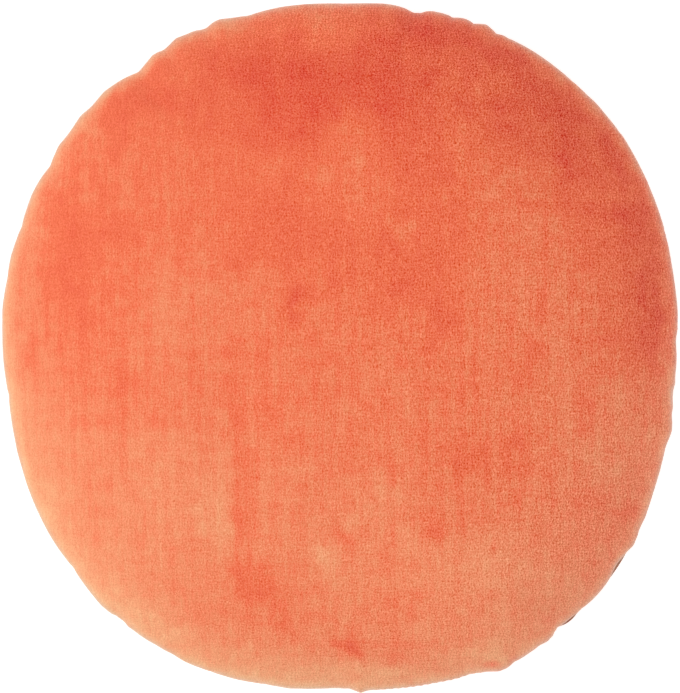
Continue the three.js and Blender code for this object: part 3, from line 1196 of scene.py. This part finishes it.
def shade(panels, points):
    """Painted shade, as the share of light that the pile gives back: less along the rim beside the seam
    and on the slivers, and more or less in some places on the front.
    """
    lost = RIM_SHADE * bump(panels.from_seam, RIM_SHADE_REACH, FIRM)
    for at_x, at_y, reach_x, reach_y, share in SHADE_PLACES:
        part = bump(points[:, 0] - at_x, reach_x, SOFT) * bump(points[:, 1] - at_y, reach_y, SOFT)
        lost = lost + share * part * ~np.array(panels.is_under)
    return (1 - lost) * (1 - SLIVER_SHADE * sliver_share(panels, points, SLIVER_DARK_SPREAD))


def painted_sheen_share(panels, points):
    """How much painted sheen pales the front panel's colour: in a band along the rim, and as a faint
    haze further in.
    """
    angle, _ = angle_and_reach(points)
    share = np.zeros(len(points))
    for at, half, inwards, reach, strength, edge in PAINTED_SHEEN:
        place = bump(np.array(panels.from_seam) - inwards, reach, edge)
        share += strength * place * bump(around(angle, at), half, SOFT)
    return share * ~np.array(panels.is_under)


def coarseness(points):
    """How much the tufts stand out: less on the left, where the light falls along the pile."""
    x, y = points[:, 0], points[:, 1]
    coarse = COARSENESS + COARSER_RIGHT * x
    for at_x, at_y, reach_x, reach_y, more in COARSER_PLACES:
        coarse = coarse + more * bump(x - at_x, reach_x, SOFT) * bump(y - at_y, reach_y, SOFT)
    return coarse


def paint(cushion, name, values):
    attribute = cushion.data.attributes.new(name, "FLOAT", "POINT")
    attribute.data.foreach_set("value", values.astype(np.float32))


def noises(nodes, place, table):
    """The sum of smooth noises about 0, each with its cells in a metre, its detail and its weight."""
    total = 0.0
    for cells, detail, weight in table:
        stretched = nodes.add("Mapping", {"Vector": place, "Scale": cells}).outputs["Vector"]
        settings = {"Vector": stretched, "Scale": 1.0, "Detail": detail}
        value = nodes.add("TexNoise", settings).outputs[0]
        about_zero = nodes.math("MULTIPLY_ADD", value, 2.0, -1.0)
        total = nodes.math("MULTIPLY_ADD", about_zero, weight, total)
    return total


def rows(nodes, place, total):
    """The total with waves across the rows of tufts added, which wander a little."""
    axes = nodes.add("SeparateXYZ", {0: place}).outputs
    waver = noises(nodes, place, ROW_WAVER)
    for axis, count, weight in ROWS:
        phase = nodes.math("MULTIPLY_ADD", axes[axis], 2 * math.pi * count, waver)
        total = nodes.math("MULTIPLY_ADD", nodes.math("SINE", phase), weight, total)
    return total


def velvet():
    material = bpy.data.materials.new("velvet")
    nodes = Nodes(material)
    shader = nodes.shader
    place = nodes.add("TexCoord").outputs["Object"]
    # the nap, with painted light along the rim
    lightness = nodes.add("Attribute", attribute_name="nap_and_rim_light").outputs["Fac"]
    coarse = nodes.add("Attribute", attribute_name="coarseness").outputs["Fac"]
    grain = nodes.math("MULTIPLY", rows(nodes, place, noises(nodes, place, TUFTS)), coarse)
    uneven = nodes.math("ADD", noises(nodes, place, CLOUDS), lightness)
    shown = nodes.math("MULTIPLY_ADD", grain, GRAIN_NAP, uneven)
    level = nodes.math("MULTIPLY_ADD", shown, RAMP_SHARE, RAMP_MIDDLE)
    ramp = nodes.add("ValToRGB", {"Fac": level})
    stops = ramp.color_ramp.elements
    while len(stops) > 1:
        stops.remove(stops[-1])
    stops[0].position, stops[0].color = PILE_COLOURS[0][0], (*PILE_COLOURS[0][1], 1)
    for position, colour in PILE_COLOURS[1:]:
        stops.new(position).color = (*colour, 1)
    tufts = nodes.math("MULTIPLY_ADD", grain, GRAIN_SHADE, 1.0)
    # painted shade multiplies the pile's colour
    lit = nodes.math("MULTIPLY", tufts, nodes.add("Attribute", attribute_name="shade").outputs["Fac"])
    glint = nodes.add("VectorMath", {0: grain, 1: GRAIN_GLINT}, operation="MULTIPLY").outputs[0]
    parts = {0: ramp.outputs["Color"], 1: lit, 2: glint}
    tinted = nodes.add("VectorMath", parts, operation="MULTIPLY_ADD").outputs[0]
    pile = nodes.add("VectorMath", {0: tinted, 1: (0, 0, 0)}, operation="MAXIMUM").outputs[0]
    # painted sheen, mixed into the pile's colour as a pale one
    sheen_share = nodes.add("Attribute", attribute_name="painted_sheen_share").outputs["Fac"]
    mixed = {0: sheen_share, MIX_FIRST: pile, MIX_SECOND: PAINTED_SHEEN_COLOUR}
    colour = nodes.add("Mix", mixed, data_type="RGBA").outputs[MIX_RESULT]
    nodes.set(shader.inputs["Base Color"], colour)
    nodes.set_all(shader, GLOSS)
    relief = nodes.add("Bump", {"Height": grain, **RELIEF})
    nodes.set(shader.inputs["Normal"], relief.outputs["Normal"])
    return material


def floor():
    corners = ((-1, -1), (1, -1), (1, 1), (-1, 1))
    points = [(x * FLOOR_REACH, y * FLOOR_REACH, 0) for x, y in corners]
    made = mesh_object("floor", points, [(0, 1, 2, 3)])
    material = bpy.data.materials.new("pale_floor")
    nodes = Nodes(material)
    nodes.set_all(nodes.shader, FLOOR)
    made.data.materials.append(material)


def area_light(name, place, side, power):
    """A square soft light that faces the middle of the cushion."""
    light = bpy.data.lights.new(name, "AREA")
    light.size = side
    light.energy = power
    made = bpy.data.objects.new(name, light)
    made.location = place
    made.rotation_euler = (-Vector(place)).to_track_quat("-Z", "Y").to_euler()
    bpy.context.scene.collection.objects.link(made)


def studio_light():
    world = bpy.data.worlds.new("studio")
    world.use_nodes = True
    background = world.node_tree.nodes["Background"]
    background.inputs["Color"].default_value = (1, 1, 1, 1)
    background.inputs["Strength"].default_value = SURROUND_LIGHT
    bpy.context.scene.world = world
    for name, place, side, power in LIGHTS:
        area_light(name, place, side, power)


def camera():
    """Straight above the cushion, with the top of its face at the top of the view."""
    lens = bpy.data.cameras.new("camera")
    lens.lens = lens.sensor_width * EYE_HEIGHT / VIEW_LENGTH
    made = bpy.data.objects.new("camera", lens)
    made.location = (0, EYE_OFFSET * MM, (EYE_HEIGHT + SEAM_HEIGHT) * MM)
    bpy.context.scene.collection.objects.link(made)
    bpy.context.scene.camera = made


camera()
studio_light()
floor()
cushion = make_cushion()
cushion.data.materials.append(velvet())
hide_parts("cushion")
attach(cushion, "root")
bpy.context.scene.view_settings.view_transform = "Standard"
